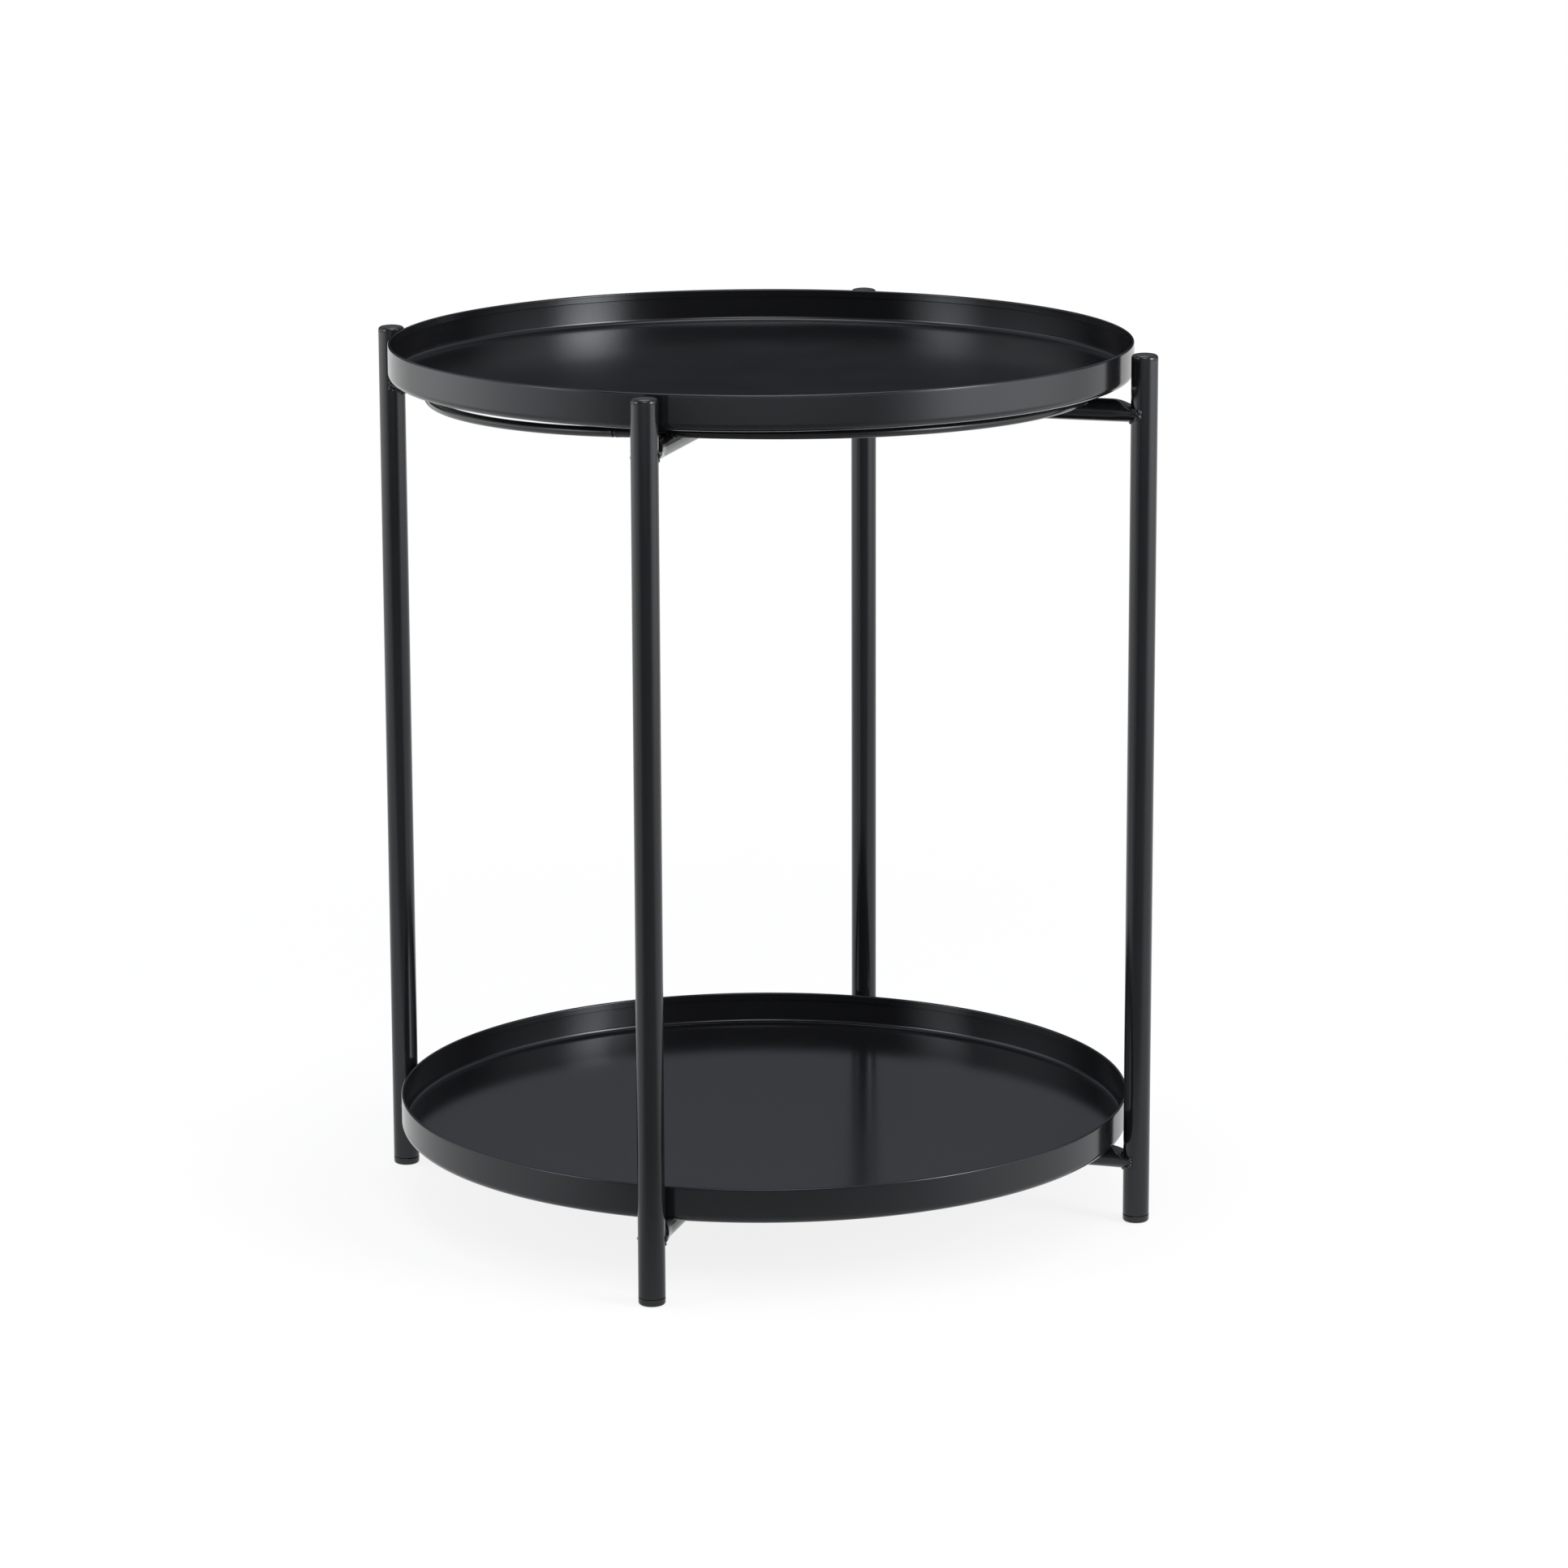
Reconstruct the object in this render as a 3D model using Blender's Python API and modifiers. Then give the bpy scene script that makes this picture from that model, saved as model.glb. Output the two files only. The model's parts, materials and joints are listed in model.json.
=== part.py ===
"""Folding side table: two tube frames crossing at pivot bolts, a wire ring and two lift-off trays.

Metres, +Z up, with the origin on the floor at the middle of the table. The side frame (left and right legs)
stands still. The end frame (front and back legs) turns about the upright line through both pivot bolts.
"""

import math

import bmesh
import bpy

# Overall sizes
TABLE_HEIGHT = 0.500  # floor to the leg caps and the upper tray's rim
LOWER_RIM_HEIGHT = 0.064  # floor to the lower tray's rim
GAP = 0.0003  # left between pieces that touch

# Trays
TRAY_RADIUS = 0.210
TRAY_HEIGHT = 0.020
TRAY_SHEET = 0.0010
TRAY_BEND = 0.0060  # outside radius of the bend from floor to wall
HEM_THICKNESS = 0.0018
HEM_DEPTH = 0.0045
TRAY_STEPS = 68
BEND_STEPS = 4

# Legs, with their caps and feet
LEG_DIAMETER = 0.0150
LEG_WALL = 0.0012
LEG_CLEARANCE = 0.0035  # tray rim to leg
CAP_FLANGE = 0.0030
CAP_EDGE = 0.0018
FOOT_FLANGE = 0.0040
FOOT_EDGE = 0.0015
PLUG_LENGTH = 0.0120
PLUG_CHAMFER = 0.0008
LEG_STEPS = 24
PLUG_STEPS = 16
EDGE_STEPS = 3

# Crossbars, pinched at both ends and pressed flat where two of them cross
BAR_DIAMETER = 0.0127
BAR_WALL = 0.0012
PINCH_THICKNESS = 0.0072  # height of a bar's end once its top is pressed down
PINCH_LENGTH = 0.0034
PINCH_SLOPE = 0.0110
PINCH_WRAP = 0.0055  # how far a pinched end's ridges reach round its leg
PINCH_FLARE = 0.0020  # how far each ridge spreads sideways
CROSSING_THICKNESS = 0.0040
CROSSING_LENGTH = 0.1300
CROSSING_SLOPE = 0.0250
PINCH_STEPS = 2
CROSSING_STEPS = 3
BAR_SIDES = 16
CREASE_ANGLE = 30  # degrees, past which a bar's edge shows as a crease

# Wire ring under the upper tray
WIRE_DIAMETER = 0.0055
RING_INSET = 0.0200  # tray rim to the ring's outer edge
RING_SEAT = 0.0016  # how deep the ring lies in the upper end bar
RING_STEPS = 60
WIRE_SIDES = 8
CHANNEL_STEPS = 6

# Pivot hardware
BOLT_DIAMETER = 0.0060
BOLT_HEAD_DIAMETER = 0.0130
BOLT_HEAD_HEIGHT = 0.0026
BOLT_TIP = 0.0015  # what shows below the nut
WASHER_DIAMETER = 0.0125
WASHER_THICKNESS = 0.0010
NUT_WIDTH = 0.0100  # across flats
NUT_HEIGHT = 0.0050
BOLT_STEPS = 16

# Finishes: colour, roughness, metallic
FINISHES = {
    "black_powder_coat": ((0.012, 0.012, 0.013), 0.34, 0.0),
    "black_plastic": ((0.014, 0.014, 0.014), 0.45, 0.0),
    "zinc_plate": ((0.58, 0.58, 0.60), 0.35, 1.0),
}

# Sizes that follow from those above
LEG_RADIUS = LEG_DIAMETER / 2
PLUG_RADIUS = LEG_RADIUS - LEG_WALL - GAP
LEG_CIRCLE = TRAY_RADIUS + LEG_CLEARANCE + LEG_RADIUS
BAR_RADIUS = BAR_DIAMETER / 2
WIRE_RADIUS = WIRE_DIAMETER / 2
RING_RADIUS = TRAY_RADIUS - RING_INSET - WIRE_RADIUS
BOLT_RADIUS = BOLT_DIAMETER / 2
HOLE_RADIUS = BOLT_RADIUS + GAP

# Levels, worked down from each tray's underside to what carries it
UPPER_TRAY_BOTTOM = TABLE_HEIGHT - TRAY_HEIGHT
LOWER_TRAY_BOTTOM = LOWER_RIM_HEIGHT - TRAY_HEIGHT
UPPER_SEAT = UPPER_TRAY_BOTTOM - GAP
LOWER_SEAT = LOWER_TRAY_BOTTOM - GAP
RING_LEVEL = UPPER_SEAT - WIRE_RADIUS
UPPER_PIVOT_SEAT = UPPER_SEAT - WIRE_DIAMETER + RING_SEAT
UPPER_END_BAR_LEVEL = UPPER_PIVOT_SEAT - BAR_RADIUS
UPPER_SIDE_BAR_LEVEL = UPPER_SEAT - WIRE_DIAMETER - GAP - BAR_RADIUS
LOWER_BAR_LEVEL = LOWER_SEAT - BAR_RADIUS

# The legs' names, their directions from the middle, and which frame they belong to
LEGS = {
    "right": ((1, 0), "side_frame"),
    "left": ((-1, 0), "side_frame"),
    "front": ((0, -1), "end_frame"),
    "back": ((0, 1), "end_frame"),
}


def clear_scene():
    for obj in list(bpy.data.objects):
        bpy.data.objects.remove(obj, do_unlink=True)


def new_collection(name):
    collection = bpy.data.collections.new(name)
    bpy.context.scene.collection.children.link(collection)
    return collection


def make_finish(name):
    colour, roughness, metallic = FINISHES[name]
    material = bpy.data.materials.new(name)
    material.use_nodes = True
    shader = material.node_tree.nodes["Principled BSDF"]
    shader.inputs["Base Color"].default_value = (*colour, 1.0)
    shader.inputs["Roughness"].default_value = roughness
    shader.inputs["Metallic"].default_value = metallic
    return material


def add_body(name, level=0.0):
    """An empty on a body's joint axis, for its pieces to hang from."""
    empty = bpy.data.objects.new(name, None)
    empty.location = (0, 0, level)
    table.objects.link(empty)
    return empty


def add_piece(name, mesh, finish, body, location=(0, 0, 0), turn=0.0):
    piece = bpy.data.objects.new(name, mesh)
    mesh.materials.append(finishes[finish])
    piece.parent = bodies[body]
    piece.location = location
    piece.rotation_euler = (0, 0, turn)
    table.objects.link(piece)
    return piece


def make_cutter(name, mesh, location=(0, 0, 0)):
    cutter = bpy.data.objects.new(name, mesh)
    cutter.location = location
    cutter.hide_render = True
    cutter.display_type = "WIRE"
    cutters.objects.link(cutter)
    return cutter


def cut(piece, cutter):
    boolean = piece.modifiers.new(cutter.name, "BOOLEAN")
    boolean.operation = "DIFFERENCE"
    boolean.solver = "EXACT"
    boolean.object = cutter


def spin(piece, steps):
    """Turns a piece's profile into a solid of revolution about its own Z axis."""
    screw = piece.modifiers.new("spin", "SCREW")
    screw.steps = steps
    screw.render_steps = steps
    screw.use_merge_vertices = True
    screw.merge_threshold = 0.00001
    screw.use_smooth_shade = True


def profile_mesh(name, points, closed=False):
    """Edges through (radius, height) points in the XZ plane, down the outer side."""
    mesh = bpy.data.meshes.new(name)
    edges = [(i, i + 1) for i in range(len(points) - 1)]
    if closed:
        edges.append((len(points) - 1, 0))
    mesh.from_pydata([(radius, 0, height) for radius, height in points], edges, [])
    return mesh


def arc(centre, radius, start, end, segments):
    """Points on an arc in the profile plane, from start to end in degrees."""
    angles = [math.radians(start + (end - start) * i / segments) for i in range(segments + 1)]
    return [(centre[0] + radius * math.cos(a), centre[1] + radius * math.sin(a)) for a in angles]


def ring_profile(inner, outer, top, bottom):
    return [(outer, top), (outer, bottom), (inner, bottom), (inner, top)]


def cylinder_mesh(name, radius, height, sides):
    """A closed cylinder standing on z = 0, or a prism when it has few sides."""
    mesh = bpy.data.meshes.new(name)
    shape = bmesh.new()
    bmesh.ops.create_cone(
        shape, cap_ends=True, segments=sides, radius1=radius, radius2=radius, depth=height
    )
    bmesh.ops.translate(shape, verts=shape.verts, vec=(0, 0, height / 2))
    shape.to_mesh(mesh)
    shape.free()
    return mesh


# Trays


def tray_profile():
    """From the middle of the floor, up the inside, over the hem and down the outside."""
    inner_bend = TRAY_BEND - TRAY_SHEET
    bend_centre = (TRAY_RADIUS - TRAY_BEND, TRAY_BEND)
    lip = HEM_THICKNESS / 2
    inner_wall = TRAY_RADIUS - TRAY_SHEET
    hem_wall = TRAY_RADIUS - HEM_THICKNESS
    hem_foot = TRAY_HEIGHT - HEM_DEPTH
    points = [(0, TRAY_SHEET)]
    points += arc(bend_centre, inner_bend, -90, 0, BEND_STEPS)
    points += [(inner_wall, hem_foot - lip), (hem_wall, hem_foot)]
    points += arc((TRAY_RADIUS - lip, TRAY_HEIGHT - lip), lip, 180, 0, BEND_STEPS)
    points += arc(bend_centre, TRAY_BEND, 0, -90, BEND_STEPS)
    points += [(0, 0)]
    return points


def add_tray(name):
    tray = add_piece(name, profile_mesh(name, tray_profile()), "black_powder_coat", name)
    spin(tray, TRAY_STEPS)


# Legs, caps and feet


def leg_place(direction, level):
    return (direction[0] * LEG_CIRCLE, direction[1] * LEG_CIRCLE, level)


def add_leg(side, direction, body):
    name = "leg_" + side
    length = TABLE_HEIGHT - CAP_FLANGE - FOOT_FLANGE - 2 * GAP
    wall = ring_profile(LEG_RADIUS - LEG_WALL, LEG_RADIUS, length, 0)
    mesh = profile_mesh(name, wall, closed=True)
    leg = add_piece(name, mesh, "black_powder_coat", body, leg_place(direction, FOOT_FLANGE + GAP))
    spin(leg, LEG_STEPS)


def add_cap(side, direction, body):
    name = "cap_" + side
    edge = min(CAP_EDGE, CAP_FLANGE)
    points = [(0, CAP_FLANGE)]
    points += arc((LEG_RADIUS - edge, CAP_FLANGE - edge), edge, 90, 0, EDGE_STEPS)
    points += [(LEG_RADIUS, 0), (PLUG_RADIUS, 0), (PLUG_RADIUS, PLUG_CHAMFER - PLUG_LENGTH)]
    points += [(PLUG_RADIUS - PLUG_CHAMFER, -PLUG_LENGTH), (0, -PLUG_LENGTH)]
    place = leg_place(direction, TABLE_HEIGHT - CAP_FLANGE)
    spin(add_piece(name, profile_mesh(name, points), "black_plastic", body, place), PLUG_STEPS)


def add_foot(side, direction, body):
    name = "foot_" + side
    edge = min(FOOT_EDGE, FOOT_FLANGE)
    top = FOOT_FLANGE + PLUG_LENGTH
    points = [(0, top), (PLUG_RADIUS - PLUG_CHAMFER, top), (PLUG_RADIUS, top - PLUG_CHAMFER)]
    points += [(PLUG_RADIUS, FOOT_FLANGE), (LEG_RADIUS, FOOT_FLANGE)]
    points += arc((LEG_RADIUS - edge, edge), edge, 0, -90, EDGE_STEPS)
    points += [(0, 0)]
    place = leg_place(direction, 0)
    spin(add_piece(name, profile_mesh(name, points), "black_plastic", body, place), PLUG_STEPS)


# Crossbars


def pressed_section(height, middle, inset):
    """(across, up) points of a tube pressed to a height. Its girth stays that of the round tube."""
    width = height + math.pi * (BAR_DIAMETER - height) / 2
    straight = (width - height) / 2
    reach = (height / 2 - inset) / math.cos(math.pi / BAR_SIDES)
    points = []
    for i in range(BAR_SIDES):
        angle = 2 * math.pi * (i + 0.5) / BAR_SIDES
        shift = math.copysign(straight, math.cos(angle))
        points.append((shift + reach * math.cos(angle), middle + reach * math.sin(angle)))
    return points


def pinched_section(share, inset):
    """(across, up) points of a tube with its top pressed flat. Its lower half stays round and spreads."""
    top = BAR_RADIUS - share * (BAR_DIAMETER - PINCH_THICKNESS)
    spread = share * PINCH_FLARE
    reach = (BAR_RADIUS - inset) / math.cos(math.pi / BAR_SIDES)
    points = []
    for i in range(BAR_SIDES):
        angle = 2 * math.pi * (i + 0.5) / BAR_SIDES
        across = (reach + spread) * math.cos(angle)
        points.append((across, min(reach * math.sin(angle), top - inset)))
    return points


def bar_half(crossing_middle, inset):
    """(place along the bar, section) from the crossing out to one end, for one wall of the tube."""
    bar_end = LEG_CIRCLE - LEG_RADIUS + PINCH_WRAP
    pinch_start = bar_end - PINCH_LENGTH
    sections = []
    for i in range(CROSSING_STEPS + 1):
        share = i / CROSSING_STEPS
        ease = share * share * (3 - 2 * share)
        height = CROSSING_THICKNESS + (BAR_DIAMETER - CROSSING_THICKNESS) * ease
        place = CROSSING_LENGTH / 2 + CROSSING_SLOPE * share
        sections.append((place, pressed_section(height, crossing_middle * (1 - ease), inset)))
    for i in range(PINCH_STEPS + 1):
        share = i / PINCH_STEPS
        sections.append((pinch_start - PINCH_SLOPE * (1 - share), pinched_section(share, inset)))
    sections.append((bar_end, pinched_section(1, inset)))
    return sections


def bar_mesh(name, crossing_middle):
    """A tube lofted through the sections of both halves, open at its ends."""
    shape = bmesh.new()
    walls = []
    for inset in (0, BAR_WALL):
        half = bar_half(crossing_middle, inset)
        sections = [(-place, points) for place, points in reversed(half)] + half
        loops = [[shape.verts.new((place, *point)) for point in points] for place, points in sections]
        walls.append(loops)
        for loop, following in zip(loops, loops[1:]):
            join_loops(shape, loop, following)
    outer, inner = walls
    join_loops(shape, outer[0], inner[0])
    join_loops(shape, outer[-1], inner[-1])
    bmesh.ops.recalc_face_normals(shape, faces=shape.faces)
    mesh = bpy.data.meshes.new(name)
    shape.to_mesh(mesh)
    shape.free()
    mesh.shade_smooth()
    mesh.set_sharp_from_angle(angle=math.radians(CREASE_ANGLE))
    return mesh


def join_loops(shape, first, second):
    for i in range(len(first)):
        shape.faces.new((first[i - 1], first[i], second[i], second[i - 1]))


def add_bar(name, body, level, crossing_middle, turn, ends):
    mesh = bar_mesh(name, crossing_middle - level)
    bar = add_piece(name, mesh, "black_powder_coat", body, (0, 0, level), turn)
    cut(bar, pivot_hole)
    for side in ends:
        cut(bar, leg_saddles[side])
    return bar


# Wire ring and the channel that seats it in the upper end bar


def add_ring():
    bpy.ops.mesh.primitive_torus_add(
        major_radius=RING_RADIUS,
        minor_radius=WIRE_RADIUS,
        major_segments=RING_STEPS,
        minor_segments=WIRE_SIDES,
    )
    torus = bpy.context.object
    mesh = torus.data
    bpy.data.objects.remove(torus, do_unlink=True)
    mesh.shade_smooth()
    add_piece("support_ring", mesh, "black_powder_coat", "end_frame", (0, 0, RING_LEVEL))


def make_ring_channel():
    """A U-shaped groove round the ring's circle, open upwards."""
    half_width = WIRE_RADIUS + GAP
    open_top = BAR_DIAMETER
    points = [(RING_RADIUS + half_width, open_top)]
    points += arc((RING_RADIUS, 0), half_width, 0, -180, CHANNEL_STEPS)
    points += [(RING_RADIUS - half_width, open_top)]
    mesh = profile_mesh("ring_channel", points, closed=True)
    channel = make_cutter("ring_channel", mesh, (0, 0, RING_LEVEL))
    spin(channel, RING_STEPS)
    return channel


# Pivot hardware, stacked downwards from the bars' tops


def pivot_levels(seat):
    """Heights of the stack: head foot, end bar's flat, washer, side bar's flat, nut washer and nut."""
    head_foot = seat - GAP - BOLT_HEAD_HEIGHT
    end_flat = head_foot - GAP - CROSSING_THICKNESS
    washer = end_flat - GAP - WASHER_THICKNESS
    side_flat = washer - GAP - CROSSING_THICKNESS
    nut_washer = side_flat - GAP - WASHER_THICKNESS
    nut = nut_washer - GAP - NUT_HEIGHT
    return head_foot, end_flat, washer, side_flat, nut_washer, nut


def add_washer(name, level):
    wall = ring_profile(HOLE_RADIUS, WASHER_DIAMETER / 2, WASHER_THICKNESS, 0)
    mesh = profile_mesh(name, wall, closed=True)
    washer = add_piece(name, mesh, "zinc_plate", "side_frame", (0, 0, level))
    spin(washer, BOLT_STEPS)


def add_bolt(name, head_foot, length):
    head_radius = BOLT_HEAD_DIAMETER / 2
    crown = BOLT_HEAD_HEIGHT / 2
    points = [(0, BOLT_HEAD_HEIGHT)]
    points += arc((head_radius - crown, BOLT_HEAD_HEIGHT - crown), crown, 90, 0, EDGE_STEPS)
    points += [(head_radius, 0), (BOLT_RADIUS, 0), (BOLT_RADIUS, -length), (0, -length)]
    mesh = profile_mesh(name, points)
    spin(add_piece(name, mesh, "zinc_plate", "side_frame", (0, 0, head_foot)), BOLT_STEPS)


def add_nut(name, level):
    corner_radius = NUT_WIDTH / 2 / math.cos(math.pi / 6)
    mesh = cylinder_mesh(name, corner_radius, NUT_HEIGHT, 6)
    nut = add_piece(name, mesh, "zinc_plate", "side_frame", (0, 0, level))
    cut(nut, pivot_hole)


def add_pivot(tier, seat):
    head_foot, _, washer, _, nut_washer, nut = pivot_levels(seat)
    add_bolt("pivot_bolt_" + tier, head_foot, head_foot - nut + BOLT_TIP)
    add_washer("pivot_washer_" + tier, washer)
    add_washer("nut_washer_" + tier, nut_washer)
    add_nut("pivot_nut_" + tier, nut)


def add_crossing(tier, seat, side_level, end_level):
    """The two bars of one tier, each with its flat at its own level of the pivot stack."""
    _, end_flat, _, side_flat, _, _ = pivot_levels(seat)
    half = CROSSING_THICKNESS / 2
    sides = [name for name, (_, body) in LEGS.items() if body == "side_frame"]
    ends = [name for name, (_, body) in LEGS.items() if body == "end_frame"]
    add_bar("side_bar_" + tier, "side_frame", side_level, side_flat + half, 0.0, sides)
    return add_bar("end_bar_" + tier, "end_frame", end_level, end_flat + half, math.pi / 2, ends)


clear_scene()
table = new_collection("folding_side_table")
cutters = new_collection("cutters")
finishes = {name: make_finish(name) for name in FINISHES}
bodies = {
    "side_frame": add_body("side_frame"),
    "end_frame": add_body("end_frame"),
    "upper_tray": add_body("upper_tray_seat", UPPER_TRAY_BOTTOM),
    "lower_tray": add_body("lower_tray_seat", LOWER_TRAY_BOTTOM),
}

pivot_hole = make_cutter("pivot_hole", cylinder_mesh("pivot_hole", HOLE_RADIUS, TABLE_HEIGHT, BOLT_STEPS))
saddle_mesh = cylinder_mesh("leg_saddle", LEG_RADIUS + GAP, TABLE_HEIGHT, LEG_STEPS)
leg_saddles = {
    side: make_cutter("leg_saddle_" + side, saddle_mesh, leg_place(direction, 0))
    for side, (direction, _) in LEGS.items()
}

for side, (direction, body) in LEGS.items():
    add_leg(side, direction, body)
    add_cap(side, direction, body)
    add_foot(side, direction, body)

upper_end_bar = add_crossing("upper", UPPER_PIVOT_SEAT, UPPER_SIDE_BAR_LEVEL, UPPER_END_BAR_LEVEL)
add_crossing("lower", LOWER_SEAT, LOWER_BAR_LEVEL, LOWER_BAR_LEVEL)
add_pivot("upper", UPPER_PIVOT_SEAT)
add_pivot("lower", LOWER_SEAT)

cut(upper_end_bar, make_ring_channel())
add_ring()
add_tray("upper_tray")
add_tray("lower_tray")
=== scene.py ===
# %% [markdown]
# This is a small round side table in black steel, with two lift-off trays between four tube legs. The
# legs stand in two pairs, joined by crossbars, and the pairs turn about a bolt at each crossing, so the
# frame folds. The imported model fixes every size, place and joint. This lesson loads it as a frame that
# never moves, then gives each piece its fine shape and its finish, and lights it as a product on white.

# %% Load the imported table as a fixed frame
import json
import math

import bmesh
import bpy
from mathutils import Matrix, Vector


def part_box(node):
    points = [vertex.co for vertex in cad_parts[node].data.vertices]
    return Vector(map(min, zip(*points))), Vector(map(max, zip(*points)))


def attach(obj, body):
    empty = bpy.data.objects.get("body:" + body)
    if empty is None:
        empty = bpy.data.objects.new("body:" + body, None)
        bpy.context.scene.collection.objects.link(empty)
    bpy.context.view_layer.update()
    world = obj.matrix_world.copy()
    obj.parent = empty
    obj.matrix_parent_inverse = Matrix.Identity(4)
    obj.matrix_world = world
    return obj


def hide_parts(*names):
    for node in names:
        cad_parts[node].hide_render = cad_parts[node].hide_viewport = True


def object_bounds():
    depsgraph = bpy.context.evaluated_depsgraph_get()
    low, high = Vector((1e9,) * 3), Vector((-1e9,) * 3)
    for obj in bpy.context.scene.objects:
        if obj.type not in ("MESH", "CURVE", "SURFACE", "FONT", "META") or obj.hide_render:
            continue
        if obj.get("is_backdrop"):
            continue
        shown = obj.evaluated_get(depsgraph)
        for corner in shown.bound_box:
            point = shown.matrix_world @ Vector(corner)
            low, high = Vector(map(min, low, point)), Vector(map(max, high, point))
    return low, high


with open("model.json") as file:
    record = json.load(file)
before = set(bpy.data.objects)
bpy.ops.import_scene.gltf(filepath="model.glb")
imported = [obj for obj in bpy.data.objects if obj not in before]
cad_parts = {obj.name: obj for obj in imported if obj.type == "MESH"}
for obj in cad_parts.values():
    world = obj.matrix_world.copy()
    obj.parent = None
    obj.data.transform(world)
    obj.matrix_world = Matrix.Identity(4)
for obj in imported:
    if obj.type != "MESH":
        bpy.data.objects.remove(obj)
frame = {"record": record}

cad_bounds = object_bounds()
BODY_OF = {node: body for body, nodes in frame["record"]["behaviour"]["bodies"].items() for node in nodes}

# %% [markdown]
# A finish is a node tree, and written out node by node it is hard to read. A small class that wraps one
# output and overloads the arithmetic lets a finish be written as a formula: each sum or product adds a
# Math node. Any other kind of node comes from one method. The same class serves geometry trees later on.


# %% A wire that turns formulas into nodes
class Wire:
    """One output of a node tree, or only the tree when no output is given."""

    def __init__(self, tree, socket=None):
        self.tree = tree
        self.socket = socket

    def node(self, kind, settings=None, inputs=None, output=0):
        """Adds a node: its settings first, then a value or a wire for each named or numbered input."""
        made = self.tree.nodes.new(kind)
        for setting, value in (settings or {}).items():
            if setting == "stops":
                fill_ramp(made.color_ramp, value)
            elif setting == "items":
                while len(made.index_switch_items) < value:
                    made.index_switch_items.new()
            else:
                setattr(made, setting, value)
        for key, value in (inputs or {}).items():
            if isinstance(value, Wire):
                self.tree.links.new(value.socket, made.inputs[key])
            else:
                made.inputs[key].default_value = value
        return Wire(self.tree, made.outputs[output]) if made.outputs else None

    def maths(self, operation, first, second=0.0):
        return self.node("ShaderNodeMath", {"operation": operation}, {0: first, 1: second})

    def axis(self, letter):
        return self.node("ShaderNodeSeparateXYZ", inputs={0: self}, output=letter)

    def __add__(self, other):
        return self.maths("ADD", self, other)

    def __radd__(self, other):
        return self.maths("ADD", other, self)

    def __sub__(self, other):
        return self.maths("SUBTRACT", self, other)

    def __rsub__(self, other):
        return self.maths("SUBTRACT", other, self)

    def __mul__(self, other):
        return self.maths("MULTIPLY", self, other)

    def __rmul__(self, other):
        return self.maths("MULTIPLY", other, self)

    def __truediv__(self, other):
        return self.maths("DIVIDE", self, other)

    def __rtruediv__(self, other):
        return self.maths("DIVIDE", other, self)


def fill_ramp(ramp, stops):
    """Sets a colour ramp to (position, grey) stops."""
    while len(ramp.elements) < len(stops):
        ramp.elements.new(1.0)
    for element, (position, grey) in zip(ramp.elements, stops):
        element.position = position
        element.color = (grey, grey, grey, 1.0)


print("wire class ready")

# %% [markdown]
# Powder coat is dry paint melted on in an oven. It levels into a semi-gloss black skin that keeps a faint
# orange peel, a ripple a few millimetres long, and a finer grain. A flat black would lose both, so slow
# clouds shift the colour and the gloss a little, and the peel and grain go into a bump.


# %% Black powder coat
def start_finish(name):
    """A material with its shader and a wire of object coordinates in metres."""
    material = bpy.data.materials.new(name)
    material.use_nodes = True
    shader = material.node_tree.nodes["Principled BSDF"]
    place = Wire(material.node_tree).node("ShaderNodeTexCoord", output="Object")
    return material, shader, place


def clouds(place, size, detail=1.0):
    """Soft noise from 0 to 1 whose lumps are about one size across, in metres."""
    return place.node("ShaderNodeTexNoise", inputs={"Vector": place, "Scale": 1 / size, "Detail": detail})


def blend_colours(share, first, second):
    return share.node("ShaderNodeMix", {"data_type": "RGBA"}, {0: share, 6: first, 7: second}, output=2)


def feed(shader, **wires):
    """Links wires to a shader's inputs, named with _ in place of a space."""
    for label, wire in wires.items():
        wire.tree.links.new(wire.socket, shader.inputs[label.replace("_", " ")])


def bumps(height, depth, strength):
    inputs = {"Height": height, "Distance": depth, "Strength": strength}
    return height.node("ShaderNodeBump", inputs=inputs, output="Normal")


def powder_coat():
    material, shader, place = start_finish("powder_coat_black")
    shader.inputs["Specular IOR Level"].default_value = 0.44
    shader.inputs["Specular Tint"].default_value = (0.90, 0.94, 1.0, 1)
    flow = clouds(place, 0.040, 3.0)
    peel = clouds(place, 0.0026)
    grain = clouds(place, 0.0006)
    feed(
        shader,
        Base_Color=blend_colours(flow, (0.0052, 0.0053, 0.0057, 1), (0.0076, 0.0077, 0.0082, 1)),
        Roughness=0.125 + 0.04 * flow + 0.03 * grain,
        Normal=bumps(peel + 0.2 * grain, 0.00012, 0.07),
    )
    return material


finishes = {"powder_coat": powder_coat()}
print("finish:", finishes["powder_coat"].name)

# %% [markdown]
# The caps and feet are moulded plastic, as black as the paint, with the fine sparked grain of the mould.
# The bolts, washers and nuts are zinc plated: a bright metal gone cloudy, with patches that lean to blue
# and to straw. Painted images would need unwrapped pieces and files of their own, so noise on each
# piece's own coordinates makes both.


# %% Moulded plastic and zinc plate
def moulded_plastic():
    material, shader, place = start_finish("moulded_plastic_black")
    shader.inputs["Specular IOR Level"].default_value = 0.45
    flow = clouds(place, 0.012, 2.0)
    grain = clouds(place, 0.0004, 2.0)
    feed(
        shader,
        Base_Color=blend_colours(flow, (0.0055, 0.0055, 0.0058, 1), (0.0085, 0.0085, 0.0088, 1)),
        Roughness=0.10 + 0.04 * flow + 0.04 * grain,
        Normal=bumps(grain, 0.00006, 0.18),
    )
    return material


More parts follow.
